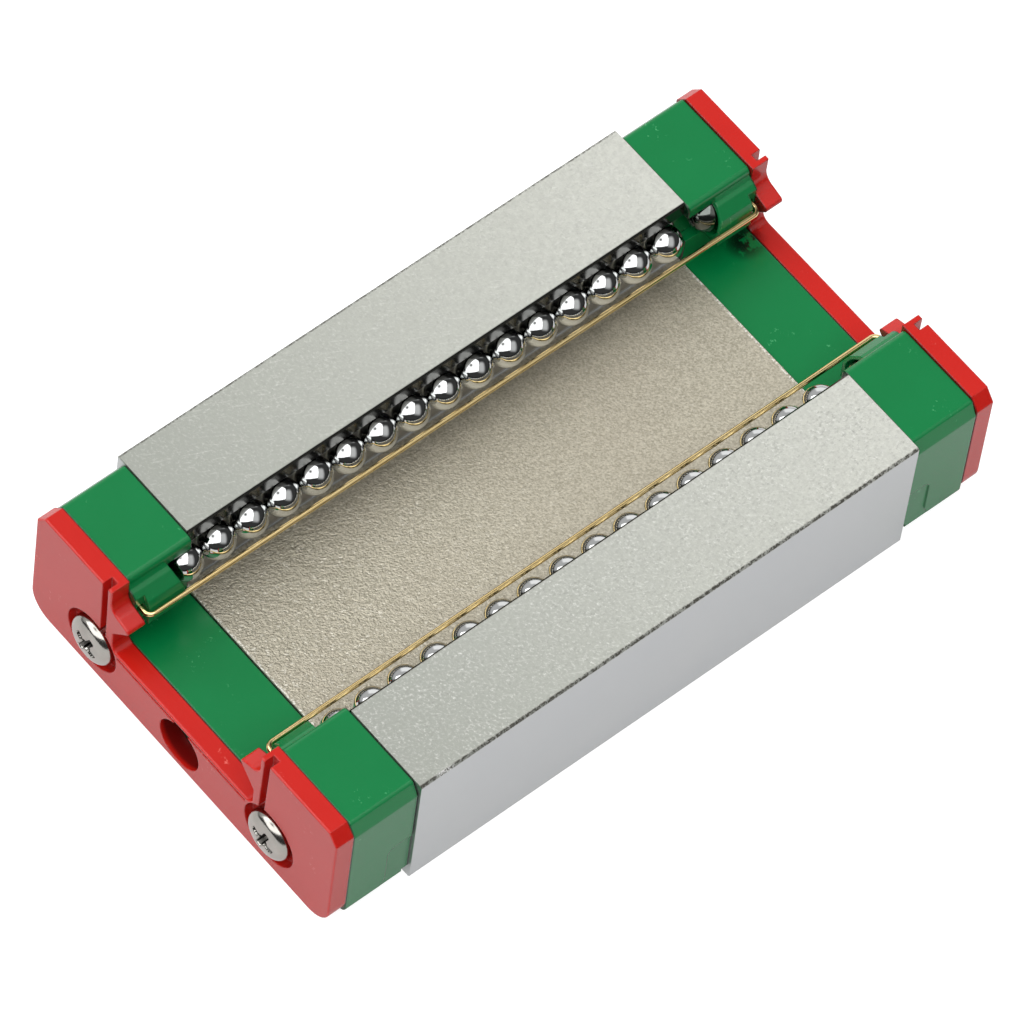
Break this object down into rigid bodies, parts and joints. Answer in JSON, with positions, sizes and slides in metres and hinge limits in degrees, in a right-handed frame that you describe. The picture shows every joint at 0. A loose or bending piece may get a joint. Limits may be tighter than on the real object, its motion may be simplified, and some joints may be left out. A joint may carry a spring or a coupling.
{
  "type": "linear guide carriage",
  "caption": "Low U-shaped carriage for a profiled rail: ground steel block, plastic end caps and end seals, and recirculating balls held by spring wires.",
  "frame": {"origin": "centre of the mounting face, which the carriage rests on", "axes": "+Y along the travel, +X across the carriage, +Z from the mounting face towards the rail"},
  "size_m": [0.032, 0.0588, 0.012],
  "materials": {
    "ground_steel": "ground bearing steel with short random grinding marks",
    "cap_plastic": "moulded green plastic, semi-gloss",
    "seal_plastic": "moulded red elastomer-edged plastic, semi-gloss",
    "guide_plastic": "moulded green plastic insert, inside",
    "screw_steel": "plated steel, smooth",
    "wire_brass": "pale brass-coloured drawn spring wire",
    "ball_steel": "polished bearing balls"
  },
  "bodies": {
    "carriage_body": {"block": "ground_steel", "front_end_cap": "cap_plastic", "front_end_seal": "seal_plastic", "front_left_return_guide": "guide_plastic", "front_left_end_screw": "screw_steel", "front_right_return_guide": "guide_plastic", "front_right_end_screw": "screw_steel", "rear_end_cap": "cap_plastic", "rear_end_seal": "seal_plastic", "rear_left_return_guide": "guide_plastic", "rear_left_end_screw": "screw_steel", "rear_right_return_guide": "guide_plastic", "rear_right_end_screw": "screw_steel", "left_retainer_wire": "wire_brass", "right_retainer_wire": "wire_brass"},
    "left_loaded_row": {"left_load_ball_01": "ball_steel", "left_load_ball_02": "ball_steel", "left_load_ball_03": "ball_steel", "left_load_ball_04": "ball_steel", "left_load_ball_05": "ball_steel", "left_load_ball_06": "ball_steel", "left_load_ball_07": "ball_steel", "left_load_ball_08": "ball_steel", "left_load_ball_09": "ball_steel", "left_load_ball_10": "ball_steel", "left_load_ball_11": "ball_steel", "left_load_ball_12": "ball_steel", "left_load_ball_13": "ball_steel", "left_load_ball_14": "ball_steel", "left_load_ball_15": "ball_steel", "left_load_ball_16": "ball_steel"},
    "left_return_row": {"left_return_balls": "ball_steel"},
    "rear_left_turn": {"rear_left_turn_balls": "ball_steel"},
    "front_left_turn": {"front_left_turn_balls": "ball_steel"},
    "right_loaded_row": {"right_load_ball_01": "ball_steel", "right_load_ball_02": "ball_steel", "right_load_ball_03": "ball_steel", "right_load_ball_04": "ball_steel", "right_load_ball_05": "ball_steel", "right_load_ball_06": "ball_steel", "right_load_ball_07": "ball_steel", "right_load_ball_08": "ball_steel", "right_load_ball_09": "ball_steel", "right_load_ball_10": "ball_steel", "right_load_ball_11": "ball_steel", "right_load_ball_12": "ball_steel", "right_load_ball_13": "ball_steel", "right_load_ball_14": "ball_steel", "right_load_ball_15": "ball_steel", "right_load_ball_16": "ball_steel"},
    "right_return_row": {"right_return_balls": "ball_steel"},
    "rear_right_turn": {"rear_right_turn_balls": "ball_steel"},
    "front_right_turn": {"front_right_turn_balls": "ball_steel"}
  },
  "joints": [
    {"name": "left_loaded_row_roll", "type": "slide", "parent": "carriage_body", "child": "left_loaded_row", "axis": [0, 1, 0], "range_m": [0, 0.0028]},
    {"name": "left_return_row_roll", "type": "slide", "parent": "carriage_body", "child": "left_return_row", "axis": [0, 1, 0], "range_m": [-0.0028, 0]},
    {"name": "rear_left_turn_roll", "type": "hinge", "parent": "carriage_body", "child": "rear_left_turn", "pos_m": [-0.01035, 0.0228, 0.0092], "axis": [0, 0, 1], "range_deg": [0, 73]},
    {"name": "front_left_turn_roll", "type": "hinge", "parent": "carriage_body", "child": "front_left_turn", "pos_m": [-0.01035, -0.0228, 0.0092], "axis": [0, 0, 1], "range_deg": [0, 73]},
    {"name": "right_loaded_row_roll", "type": "slide", "parent": "carriage_body", "child": "right_loaded_row", "axis": [0, 1, 0], "range_m": [0, 0.0028]},
    {"name": "right_return_row_roll", "type": "slide", "parent": "carriage_body", "child": "right_return_row", "axis": [0, 1, 0], "range_m": [-0.0028, 0]},
    {"name": "rear_right_turn_roll", "type": "hinge", "parent": "carriage_body", "child": "rear_right_turn", "pos_m": [0.01035, 0.0228, 0.0092], "axis": [0, 0, 1], "range_deg": [-73, 0]},
    {"name": "front_right_turn_roll", "type": "hinge", "parent": "carriage_body", "child": "front_right_turn", "pos_m": [0.01035, -0.0228, 0.0092], "axis": [0, 0, 1], "range_deg": [-73, 0]}
  ],
  "couplings": [
    {"joint": "left_return_row_roll", "follows": "left_loaded_row_roll", "ratio": -1},
    {"joint": "rear_left_turn_roll", "follows": "left_loaded_row_roll", "rad_per_m": 454.55},
    {"joint": "front_left_turn_roll", "follows": "left_loaded_row_roll", "rad_per_m": 454.55},
    {"joint": "right_return_row_roll", "follows": "right_loaded_row_roll", "ratio": -1},
    {"joint": "rear_right_turn_roll", "follows": "right_loaded_row_roll", "rad_per_m": -454.55},
    {"joint": "front_right_turn_roll", "follows": "right_loaded_row_roll", "rad_per_m": -454.55}
  ]
}
